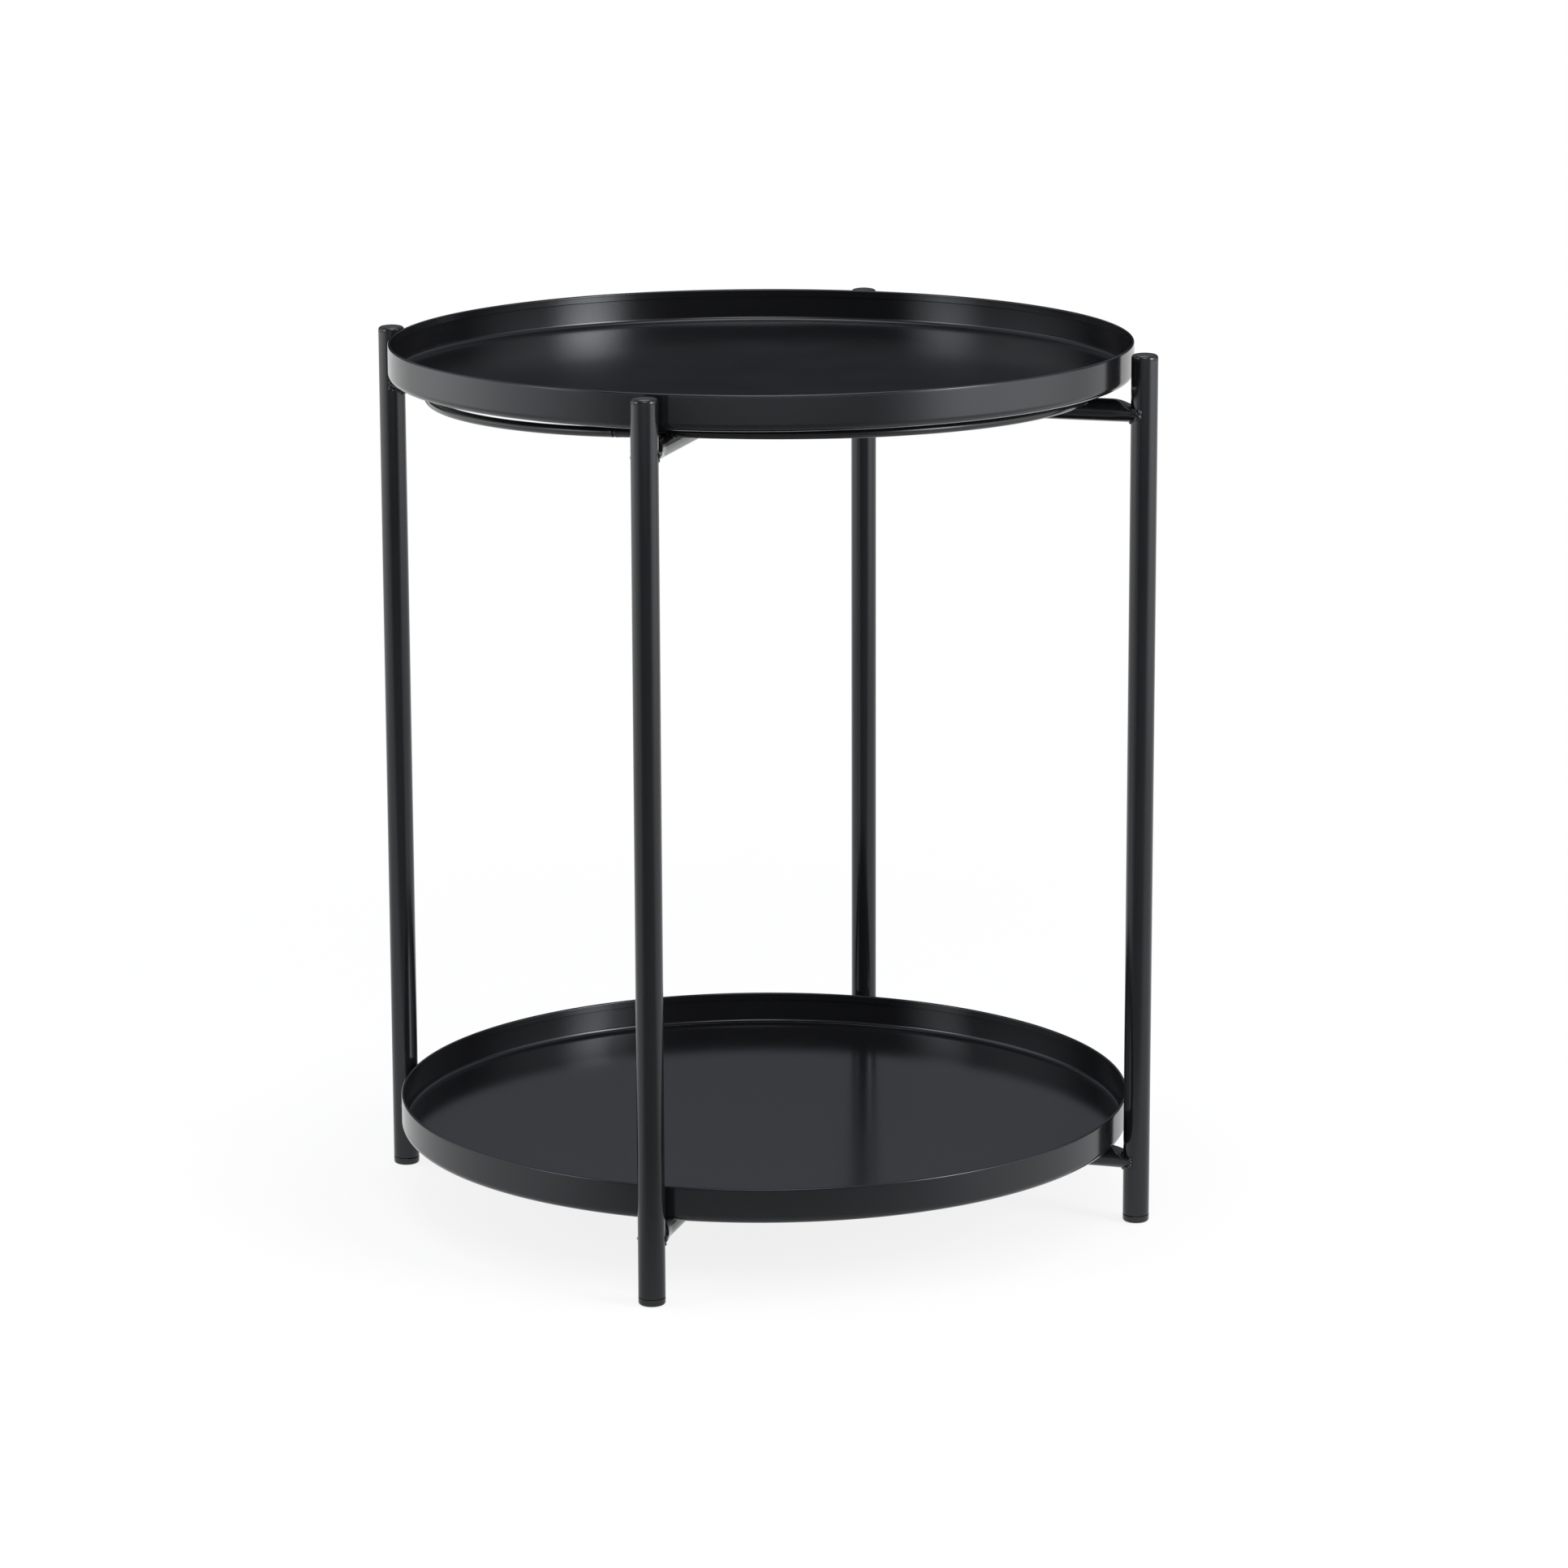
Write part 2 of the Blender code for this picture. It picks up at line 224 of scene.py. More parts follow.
def zinc_plate():
    material, shader, place = start_finish("zinc_plate_dull")
    shader.inputs["Metallic"].default_value = 1.0
    patches = clouds(place, 0.004, 3.0)
    spangle = clouds(place, 0.0007, 2.0)
    feed(
        shader,
        Base_Color=blend_colours(patches, (0.50, 0.53, 0.58, 1), (0.64, 0.61, 0.54, 1)),
        Roughness=0.26 + 0.14 * patches + 0.10 * spangle,
        Normal=bumps(spangle, 0.00005, 0.25),
    )
    return material


finishes["black_plastic"] = moulded_plastic()
finishes["zinc_plate"] = zinc_plate()
print("finishes:", sorted(finishes))

# %% [markdown]
# Every piece ends as a plain mesh with its place in its points. It is hung on the body that it moves
# with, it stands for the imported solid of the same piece, and it names the finish it takes. One helper
# does all of that, so that no piece is forgotten.


# %% Helpers that finish a mesh and seat it on its body
def plain_mesh(host):
    """The mesh of an object with all its modifiers done. The object goes."""
    bpy.context.scene.collection.objects.link(host)
    mesh = bpy.data.meshes.new_from_object(host.evaluated_get(bpy.context.evaluated_depsgraph_get()))
    mesh.name = host.name
    bpy.data.objects.remove(host, do_unlink=True)
    return mesh


def smooth(mesh, crease=35):
    """Smooth shading, with edges kept crisp past a crease angle in degrees."""
    mesh.shade_smooth()
    mesh.set_sharp_from_angle(angle=math.radians(crease))
    return mesh


def seat(name, mesh, slot, body, node=None):
    """Hangs a mesh on its body, in its finish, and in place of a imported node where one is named."""
    piece = bpy.data.objects.new(name, mesh)
    bpy.context.scene.collection.objects.link(piece)
    mesh.materials.clear()
    mesh.materials.append(finishes[slot])
    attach(piece, body)
    if node:
        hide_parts(node)
    print(f"{name}: {len(mesh.polygons)} faces, rides on {body}")
    return piece


# %% [markdown]
# Both trays are pressed from a disc of sheet steel: a flat floor, a small bend, an upright wall and a rim
# folded inwards so that no raw edge shows. A drawn outline with a Screw modifier would do. Here the
# outline follows a rule, so a node tree sets its corners from named sizes, rounds each corner by its own
# radius and sweeps the outline round a circle. Corners with no radius, close to the bends, keep the flats
# truly flat.


# %% Helpers for geometry trees
def new_tree(name, sizes):
    """A geometry tree with a geometry input, its sizes and its finish as named inputs."""
    tree = bpy.data.node_groups.new(name, "GeometryNodeTree")
    tree.interface.new_socket("Geometry", in_out="INPUT", socket_type="NodeSocketGeometry")
    for label, value in sizes.items():
        kind = "NodeSocketInt" if isinstance(value, int) else "NodeSocketFloat"
        tree.interface.new_socket(label, in_out="INPUT", socket_type=kind)
    tree.interface.new_socket("Finish", in_out="INPUT", socket_type="NodeSocketMaterial")
    tree.interface.new_socket("Geometry", in_out="OUTPUT", socket_type="NodeSocketGeometry")
    return Wire(tree)


def tree_input(start, label):
    """One of the tree's own inputs, as a wire."""
    return start.node("NodeGroupInput", output=label)


def end_tree(mesh):
    """Ends a tree with real, smooth geometry in the finish that the modifier names."""
    real = mesh.node("GeometryNodeRealizeInstances", inputs={0: mesh})
    rounded = mesh.node("GeometryNodeSetShadeSmooth", inputs={0: real})
    finish = tree_input(mesh, "Finish")
    coated = mesh.node("GeometryNodeSetMaterial", inputs={0: rounded, "Material": finish})
    mesh.node("NodeGroupOutput", inputs={0: coated})
    return mesh.tree


def grow(name, tree, sizes, slot, start=None):
    """Runs a tree on a mesh, or on nothing, and gives the result as a plain mesh."""
    host = bpy.data.objects.new(name, start or bpy.data.meshes.new(name))
    modifier = host.modifiers.new("shape", "NODES")
    modifier.node_group = tree
    values = dict(sizes, Finish=finishes[slot])
    for item in tree.interface.items_tree:
        if item.in_out == "INPUT" and item.name in values:
            modifier[item.identifier] = values[item.name]
    return plain_mesh(host)


def pick(index, values, kind):
    """A field that takes one of the values by index."""
    inputs = {0: index}
    inputs.update({i + 1: value for i, value in enumerate(values)})
    settings = {"data_type": kind, "items": len(values)}
    return index.node("GeometryNodeIndexSwitch", settings, inputs)


print("tree helpers ready")

# %% Sizes of a tray
tray_low, tray_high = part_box("upper_tray")
TRAY_SIZES = {
    "Rim Radius": tray_high.x,
    "Height": tray_high.z - tray_low.z,
    "Sheet": 0.0010,
    "Bend Radius": 0.0040,
    "Hem Thickness": 0.0018,
    "Hem Depth": 0.0045,
    "Underside": 0.0,
    "Steps Round": 224,
    "Steps In Bend": 9,
}
FLAT_HOLD = 0.3  # from a bend to the last corner of a flat, in sheets
HEM_FOOT_ROUNDS = (0.2, 0.3)  # rounding of the hem's foot, at the wall and at the fold, in sheets
HEM_HOLD = 0.7  # from the hem's foot to the next corner, in sheets
ROLL_SHARE = 0.499  # of the hem: just under half, so that the rim's two round corners do not meet
SEAM_MERGE = 0.00001  # points this close become one
print("tray rim radius:", round(TRAY_SIZES["Rim Radius"], 4))


# %% A node tree that presses a tray
def tray_corners(start):
    """(radius, height, rounding) of each corner: out along the floor, up inside, over the rim and back."""
    rim, height, sheet, bend, hem, depth = (
        tree_input(start, label)
        for label in ("Rim Radius", "Height", "Sheet", "Bend Radius", "Hem Thickness", "Hem Depth")
    )
    hold = FLAT_HOLD * sheet
    inner = rim - sheet
    fold = rim - hem
    flat_end = rim - bend - hold
    wall_start = bend + hold
    hem_foot = height - depth
    roll = hem * ROLL_SHARE
    return [
        (0.0, sheet, 0.0),
        (flat_end, sheet, 0.0),
        (inner, sheet, bend - sheet),
        (inner, wall_start, 0.0),
        (inner, hem_foot, HEM_FOOT_ROUNDS[0] * sheet),
        (fold, hem_foot, HEM_FOOT_ROUNDS[1] * sheet),
        (fold, hem_foot + HEM_HOLD * sheet, 0.0),
        (fold, height - hem, 0.0),
        (fold, height, roll),
        (rim, height, roll),
        (rim, height - hem, 0.0),
        (rim, wall_start, 0.0),
        (rim, 0.0, bend),
        (flat_end, 0.0, 0.0),
        (0.0, 0.0, 0.0),
    ]


def tray_tree(sizes):
    start = new_tree("pressed_tray", sizes)
    corners = tray_corners(start)
    index = start.node("GeometryNodeInputIndex")
    rim = tree_input(start, "Rim Radius")
    underside = tree_input(start, "Underside")
    # Curve to Mesh lays a profile's X outwards from the circle and its Y downwards.
    places = [
        start.node("ShaderNodeCombineXYZ", inputs={"X": radius - rim, "Y": 0.0 - (height + underside)})
        for radius, height, _ in corners
    ]
    line = start.node("GeometryNodeCurvePrimitiveLine")
    points = start.node("GeometryNodeResampleCurve", inputs={0: line, "Count": len(corners)})
    outline = start.node(
        "GeometryNodeSetPosition", inputs={0: points, "Position": pick(index, places, "VECTOR")}
    )
    rounding = pick(index, [radius for _, _, radius in corners], "FLOAT")
    rounded = start.node(
        "GeometryNodeFilletCurve",
        {"mode": "POLY"},
        {0: outline, "Count": tree_input(start, "Steps In Bend"), "Radius": rounding, "Limit Radius": True},
    )
    circle = start.node(
        "GeometryNodeCurvePrimitiveCircle",
        inputs={"Resolution": tree_input(start, "Steps Round"), "Radius": rim},
    )
    swept = start.node("GeometryNodeCurveToMesh", inputs={"Curve": circle, "Profile Curve": rounded})
    closed = start.node("GeometryNodeMergeByDistance", inputs={0: swept, "Distance": SEAM_MERGE})
    return end_tree(closed)


press = tray_tree(TRAY_SIZES)
print("tray tree:", len(press.nodes), "nodes")

# %% Press both trays
for tier in ("upper", "lower"):
    node = f"{tier}_tray"
    sizes = dict(TRAY_SIZES, Underside=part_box(node)[0].z)
    mesh = grow(node, press, sizes, "powder_coat")
    seat(f"pressed_tray_{tier}", mesh, "powder_coat", BODY_OF[node], node)

# %% [markdown]
# Legs, caps and feet are all round about their own upright line, so each is a drawn outline and a Screw
# modifier. A leg is a tube with its edges broken. A cap closes it with a low dome that runs into a
# rounded edge, and sits tight, so its joint is hardly seen. A foot leaves a fine shadow line where it
# meets the tube.

# %% A lathe for round pieces
LATHE_MERGE = 0.000001  # points this close to each other on the axis become one


def arc(centre, radius, start, end, segments=8):
    """Points of an arc in an outline, from start to end in degrees."""
    angles = [math.radians(start + (end - start) * i / segments) for i in range(segments + 1)]
    return [(centre[0] + radius * math.cos(a), centre[1] + radius * math.sin(a)) for a in angles]


def turned(name, outline, steps, centre=(0, 0), closed=False):
    """A solid of revolution from (radius, height) points that run down its outer side."""
    drawing = bpy.data.meshes.new(name)
    edges = [(i, i + 1) for i in range(len(outline) - 1)]
    if closed:
        edges.append((len(outline) - 1, 0))
    drawing.from_pydata([(radius, 0, height) for radius, height in outline], edges, [])
    host = bpy.data.objects.new(name, drawing)
    screw = host.modifiers.new("turn", "SCREW")
    screw.steps = steps
    screw.render_steps = steps
    screw.use_merge_vertices = True
    screw.merge_threshold = LATHE_MERGE
    mesh = plain_mesh(host)
    mesh.transform(Matrix.Translation((centre[0], centre[1], 0)))
    return smooth(mesh)


print("lathe ready")

# %% Turn the legs, their caps and their feet
LEG_WALL = 0.0012
LEG_EDGE = 0.00015  # broken edge of the cut tube
EDGE_HOLD = 0.0006  # a ring close to an edge, which keeps the rest of the wall straight
CAP_ROUND = 0.0022
CAP_DOME_RADIUS = 0.0260
FOOT_FLANGE = 0.0040
FOOT_ROUND = 0.0015
PLUG_LENGTH = 0.0120
LEG_STEPS = 80


def leg_outline(radius, low, high):
    bore = radius - LEG_WALL
    return [
        (bore, high),
        (radius - LEG_EDGE, high),
        (radius, high - LEG_EDGE),
        (radius, high - EDGE_HOLD),
        (radius, low + EDGE_HOLD),
        (radius, low + LEG_EDGE),
        (radius - LEG_EDGE, low),
        (bore, low),
    ]


def cap_outline(radius, seat_level, top):
    plug = radius - LEG_WALL
    # The dome and the edge have the same slope where they meet.
    meeting = math.asin((radius - CAP_ROUND) / (CAP_DOME_RADIUS - CAP_ROUND))
    fall = (CAP_DOME_RADIUS - CAP_ROUND) * (1 - math.cos(meeting))
    edge = (radius - CAP_ROUND, top - fall - CAP_ROUND)
    return (
        arc((0, top - CAP_DOME_RADIUS), CAP_DOME_RADIUS, 90, 90 - math.degrees(meeting))[:-1]
        + arc(edge, CAP_ROUND, 90 - math.degrees(meeting), 0)
        + [(radius, seat_level + LEG_EDGE), (radius - LEG_EDGE, seat_level), (plug, seat_level)]
        + [(plug, top - PLUG_LENGTH), (0, top - PLUG_LENGTH)]
    )


def foot_outline(radius, low):
    plug = radius - LEG_WALL
    flange = low + FOOT_FLANGE
    return (
        [(0, flange + PLUG_LENGTH), (plug, flange + PLUG_LENGTH), (plug, flange)]
        + [(radius - LEG_EDGE, flange), (radius, flange - LEG_EDGE), (radius, low + FOOT_ROUND + EDGE_HOLD)]
        + arc((radius - FOOT_ROUND, low + FOOT_ROUND), FOOT_ROUND, 0, -90)
        + [(radius - FOOT_ROUND - EDGE_HOLD, low), (0, low)]
    )


LEG_CENTRES = {}
for side in ("right", "left", "front", "back"):
    low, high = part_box(f"leg_{side}")
    centre = (low + high) / 2
    LEG_RADIUS = (high.x - low.x) / 2
    LEG_CENTRES[side] = (centre.x, centre.y)
    cap_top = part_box(f"cap_{side}")[1].z
    floor_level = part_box(f"foot_{side}")[0].z
    body = BODY_OF[f"leg_{side}"]
    round_pieces = {
        "leg": ("tube", leg_outline(LEG_RADIUS, low.z, high.z), "powder_coat"),
        "cap": ("plug", cap_outline(LEG_RADIUS, high.z, cap_top), "black_plastic"),
        "foot": ("shoe", foot_outline(LEG_RADIUS, floor_level), "black_plastic"),
    }
    for part, (word, outline, slot) in round_pieces.items():
        mesh = turned(f"{part}_{word}_{side}", outline, LEG_STEPS, LEG_CENTRES[side], closed=part == "leg")
        seat(f"{part}_{word}_{side}", mesh, slot, body, f"{part}_{side}")

# %% [markdown]
# A crossbar is a round tube that a press has worked in three places. At both ends a sloping die has
# pushed the top of the tube down. That leaves two sharp ridges, which spread and wrap round the leg,
# while the underside stays round. The middle is pressed flat so that two bars can cross on one bolt.
# Steel does not stretch much in a press, so the girth of the tube stays the same and a flatter section is
# a wider one. A cylinder squashed by a lattice would lose that girth. Here a formula gives the section at
# each place along the bar, a loft joins the sections, and Booleans carve the bar where it meets the legs,
# the bolt and the ring.

# %% Sizes of the crossbars
BAR_DIAMETER = 0.0127
BAR_RADIUS = BAR_DIAMETER / 2
PINCH_HEIGHT = 0.0072  # height of a bar's end under the die
PINCH_START = 0.0164  # from the leg's middle line to where the die's slope begins
PINCH_FOOT = 0.0054  # from the leg's middle line to the foot of the slope
PINCH_EASE = 0.40  # share of the slope over which it sets in
PINCH_REST = 0.15  # share of the slope over which it runs out into a flat
PINCH_END = 0.0020  # from the leg's middle line to the tips of the ridges
PINCH_FLARE = 0.0020  # how far each ridge spreads sideways
PINCH_VALLEY = 0.0006  # how far the die's face bulges between the ridges
RIDGE_ROUND = 0.0007
FLAT_HEIGHT = 0.0040
FLAT_HALF_LENGTH = 0.0650
FLAT_SLOPE = 0.0250
FLAT_ROUND = 0.0080
BAR_SIDES = 96
FLAT_STATIONS = 16
PINCH_STATIONS = 40
SEAT_GAP = 0.0003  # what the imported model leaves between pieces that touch
LEG_CIRCLE = LEG_CENTRES["right"][0]
print("bars reach to", round(LEG_CIRCLE, 4), "from the middle")


# %% Sections and stations of a crossbar
def soft_rise(distance, reach):
    """0 before, the distance itself after, and a parabola over the reach on both sides of 0."""
    if distance <= -reach:
        return 0.0
    if distance >= reach:
        return distance
    return (distance + reach) ** 2 / (4 * reach)


def soft_step(place, start, end, reach):
    """Rises in a straight line from 0 at start to 1 at end, with both corners rounded."""
    return (soft_rise(place - start, reach) - soft_rise(place - end, reach)) / (end - start)


def mix(first, second, share):
    return first + (second - first) * share


def spread(start, end, count):
    """Values from start to end, evenly apart."""
    return [mix(start, end, i / (count - 1)) for i in range(count)]


def bar_point(place, angle, flat_middle=0.0):
    """(across, up) of the tube's skin at one place along the bar, seen from its middle line."""
    open_share = soft_step(place, FLAT_HALF_LENGTH, FLAT_HALF_LENGTH + FLAT_SLOPE, FLAT_ROUND)
    height = mix(FLAT_HEIGHT, BAR_DIAMETER, open_share)
    slope = (place - LEG_CIRCLE + PINCH_START) / (PINCH_START - PINCH_FOOT)
    # The die's slope sets in gently and ends in a flat.
    press = soft_rise(slope, PINCH_EASE) - soft_rise(slope - 1, PINCH_REST)
    half = height / 2 + PINCH_FLARE * press
    straight = math.pi * (BAR_DIAMETER - height) / 4
    across = math.copysign(straight, math.cos(angle)) + half * math.cos(angle)
    up = mix(flat_middle, 0.0, open_share) + height / 2 * math.sin(angle)
    bulge = PINCH_VALLEY * press * (1 - (across / (half + straight)) ** 2)
    clear = BAR_RADIUS + RIDGE_ROUND  # level at which the die does not touch the tube
    die = mix(clear, PINCH_HEIGHT - BAR_RADIUS, press) - bulge
    return across, die - soft_rise(die - up, RIDGE_ROUND)


def bar_sections(flat_middle):
    """(place along the bar, section) from the crossing out to the tips of the ridges."""
    turns = [2 * math.pi * (i + 0.5) / BAR_SIDES for i in range(BAR_SIDES)]
    opening = (FLAT_HALF_LENGTH - FLAT_ROUND, FLAT_HALF_LENGTH + FLAT_SLOPE + FLAT_ROUND)
    places = [0.0] + spread(*opening, FLAT_STATIONS)
    pinch_length = PINCH_START - PINCH_FOOT
    pinch_start = LEG_CIRCLE - PINCH_START - PINCH_EASE * pinch_length
    pinch_end = LEG_CIRCLE - PINCH_FOOT + PINCH_REST * pinch_length
    places += spread(pinch_start, pinch_end, PINCH_STATIONS)
    places += [LEG_CIRCLE - PINCH_END]
    return [(place, [bar_point(place, turn, flat_middle) for turn in turns]) for place in places]


def loft(name, sections):
    """A closed solid through the sections of one half and their mirror image."""
    both = [(-place, points) for place, points in reversed(sections[1:])] + sections
    shape = bmesh.new()
    loops = [[shape.verts.new((place, *point)) for point in points] for place, points in both]
    for loop, following in zip(loops, loops[1:]):
        for i in range(len(loop)):
            shape.faces.new((loop[i - 1], loop[i], following[i], following[i - 1]))
    shape.faces.new(loops[0])
    shape.faces.new(loops[-1])
    bmesh.ops.recalc_face_normals(shape, faces=shape.faces)
    mesh = bpy.data.meshes.new(name)
    shape.to_mesh(mesh)
    shape.free()
    return mesh


print("half a bar has", len(bar_sections(0.0)), "sections")


# %% A tool that carves
def carve(mesh, cutters, operation="DIFFERENCE"):
    """Cuts a mesh with other meshes, which are used up."""
    host = bpy.data.objects.new(mesh.name, mesh)
    tools = []
    for cutter in cutters:
        tool = bpy.data.objects.new(cutter.name, cutter)
        bpy.context.scene.collection.objects.link(tool)
        tools.append(tool)
        boolean = host.modifiers.new(cutter.name, "BOOLEAN")
        boolean.operation = operation
        boolean.solver = "EXACT"
        boolean.object = tool
    carved = plain_mesh(host)
    for tool in tools:
        bpy.data.objects.remove(tool, do_unlink=True)
    return carved


print("carving tool ready")

# %% Cutters for the bolts and the ring
BOLT_RADIUS = 0.0030
BOLT_HOLE_STEPS = 32
TOUCH = 0.0001  # how far a welded piece reaches into its neighbour
ring_low, ring_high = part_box("support_ring")
WIRE_RADIUS = (ring_high.z - ring_low.z) / 2
RING_RADIUS = ring_high.x - WIRE_RADIUS
RING_SINK = 0.0010  # how far the ring has settled into the end bar
RING_LEVEL = (ring_high.z + ring_low.z) / 2 - RING_SINK
# How much lower the bent ring lies in the side bar's notches, and the power by which it gets there
RING_DIPS = {"left": (0.0066, 0.75), "right": (0.0027, 1.7)}
TOP_LEVEL = cad_bounds[1][2]
CHANNEL_STEPS = 240
CHANNEL_BEND_STEPS = 16


def rod(name, radius, low, high, steps, centre=(0, 0)):
    return turned(name, [(0, high), (radius, high), (radius, low), (0, low)], steps, centre)


def ring_channel(level, clearance, side=0):
    """A cutter for a groove round the ring's circle, open upwards, or for half of it on one side."""
    width = WIRE_RADIUS + clearance
    outline = [(RING_RADIUS + width, TOP_LEVEL)]
    outline += arc((RING_RADIUS, level), width, 0, -180, CHANNEL_BEND_STEPS)
    outline += [(RING_RADIUS - width, TOP_LEVEL)]
    groove = turned("ring_channel", outline, CHANNEL_STEPS, closed=True)
    if side:
        shape = bmesh.new()
        shape.from_mesh(groove)
        whole = shape.verts[:] + shape.edges[:] + shape.faces[:]
        plane = {"plane_co": (0, 0, 0), "plane_no": (-side, 0, 0)}
        cut = bmesh.ops.bisect_plane(shape, geom=whole, clear_outer=True, **plane)
        rims = [edge for edge in cut["geom_cut"] if isinstance(edge, bmesh.types.BMEdge)]
        bmesh.ops.holes_fill(shape, edges=rims)
        shape.to_mesh(groove)
        shape.free()
    return groove


print("ring lies at", round(RING_LEVEL, 4))

# %% Loft the bars and carve them round the legs, the bolts and the ring
# The legs that each pair of bars joins, and the bars' turn about the table's middle
BARS = {"side": (("right", "left"), 0.0), "end": (("front", "back"), math.pi / 2)}
BAR_LEVELS = {}
for tier in ("upper", "lower"):
    washer_low, washer_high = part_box(f"pivot_washer_{tier}")
    flat_middles = {
        "side": washer_low.z - SEAT_GAP - FLAT_HEIGHT / 2,
        "end": washer_high.z + SEAT_GAP + FLAT_HEIGHT / 2,
    }
    for pair, (sides, turn) in BARS.items():
        node = f"{pair}_bar_{tier}"
        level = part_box(node)[1].z - BAR_RADIUS
        BAR_LEVELS[pair, tier] = level
        mesh = loft(f"crossbar_{pair}_{tier}", bar_sections(flat_middles[pair] - level))
        mesh.transform(Matrix.Translation((0, 0, level)) @ Matrix.Rotation(turn, 4, "Z"))
        bore = LEG_RADIUS - TOUCH
        cutters = [rod(f"bore_{s}", bore, 0, TOP_LEVEL, LEG_STEPS, LEG_CENTRES[s]) for s in sides]
        cutters.append(rod("bolt_hole", BOLT_RADIUS + SEAT_GAP, 0, TOP_LEVEL, BOLT_HOLE_STEPS))
        if node == "end_bar_upper":
            cutters.append(ring_channel(RING_LEVEL, -TOUCH))
        if node == "side_bar_upper":
            for side, direction in (("left", -1), ("right", 1)):
                cutters.append(ring_channel(RING_LEVEL - RING_DIPS[side][0], SEAT_GAP, direction))
        mesh = smooth(carve(mesh, cutters), crease=30)
        seat(f"crossbar_{pair}_{tier}", mesh, "powder_coat", BODY_OF[node], node)

# %% [markdown]
# The ring under the upper tray is one length of wire, bent to a circle, with its ends butted and ground.
# The join shows as a thin dark line with a slight swelling on both sides. The ring is welded on the end
# bar and sags a little towards the side bar, where it lies in open notches. A torus has neither sag nor
# join, so a node tree sets points round the circle, close together near the join and wide apart
# elsewhere, and sweeps the wire along them with a radius that follows the distance from the join.

# %% A node tree that bends the ring
RING_SIZES = {
    "Ring Radius": RING_RADIUS,
    "Wire Radius": WIRE_RADIUS,
    "Level": RING_LEVEL,
    "Left Dip": RING_DIPS["left"][0],
    "Left Power": RING_DIPS["left"][1],
    "Right Dip": RING_DIPS["right"][0],
    "Right Power": RING_DIPS["right"][1],
    "Join Angle": math.radians(-98.5),
    "Join Swell": 0.045,
    "Join Groove": 0.20,
    "Swell Length": 0.0022,
    "Groove Length": 0.00045,
    "Points": 560,
    "Wire Sides": 28,
}
CROWDING = 2.2  # power that draws the ring's points towards the join


def bell(distance, length):
    """1 at no distance, falling to 0 over a few lengths."""
    share = distance / length
    return share.maths("EXPONENT", 0.0 - share * share)


def ring_tree(sizes):
    start = new_tree("bent_ring", sizes)
    radius, wire, level, left, left_power, right, right_power, *rest = (
        tree_input(start, label) for label in sizes
    )
    join, swell, groove, swell_length, groove_length, count, sides = rest
    run = 2.0 * start.node("GeometryNodeInputIndex") / count - 1.0
    crowded = run.maths("POWER", run.maths("ABSOLUTE", run), CROWDING)
    angle = join + math.pi * crowded * run.maths("SIGN", run)
    sideways = angle.maths("COSINE", angle)
    leftwards = angle.maths("MAXIMUM", 0.0 - sideways, 0.0)
    rightwards = angle.maths("MAXIMUM", sideways, 0.0)
    dip = left * angle.maths("POWER", leftwards, left_power)
    dip = dip + right * angle.maths("POWER", rightwards, right_power)
    spot = start.node(
        "ShaderNodeCombineXYZ",
        inputs={
            "X": radius * sideways,
            "Y": radius * angle.maths("SINE", angle),
            "Z": level - dip,
        },
    )
    distance = math.pi * crowded * radius
    thickness = wire * (1.0 + swell * bell(distance, swell_length) - groove * bell(distance, groove_length))
    line = start.node("GeometryNodeCurvePrimitiveLine")
    points = start.node("GeometryNodeResampleCurve", inputs={0: line, "Count": count})
    bent = start.node("GeometryNodeSetPosition", inputs={0: points, "Position": spot})
    closed = start.node("GeometryNodeSetSplineCyclic", inputs={0: bent, "Cyclic": True})
    profile = start.node("GeometryNodeCurvePrimitiveCircle", inputs={"Resolution": sides, "Radius": 1.0})
    swept = start.node(
        "GeometryNodeCurveToMesh", inputs={"Curve": closed, "Profile Curve": profile, "Scale": thickness}
    )
    return end_tree(swept)


ring = grow("wire_ring", ring_tree(RING_SIZES), RING_SIZES, "powder_coat")
seat("wire_ring", ring, "powder_coat", BODY_OF["support_ring"], "support_ring")

# %% [markdown]
# Each bar is welded to its leg all round, and the ring is welded on the end bar. A hand-laid weld is a
# row of lumps of uneven size under the paint, largest at the ridges' tips. The tree takes the weld's
# path, drops a point every 1.5 mm, pushes each a little aside, gives each its own radius and melts them
# into one skin by way of a volume, so no lump hides inside another.

# %% A node tree that lays weld beads
WELD_SIZES = {"Spacing": 0.0015, "Bead Radius": 0.00125, "Wander": 0.00045, "Voxel": 0.00018, "Seed": 7}
BEAD_SHARES = (0.65, 1.35)  # smallest and largest bead, as shares of the bead radius
MELT_LEVEL = 0.3  # density in the volume at which the skin lies
CALM_PASSES = 2  # blurs that settle the skin


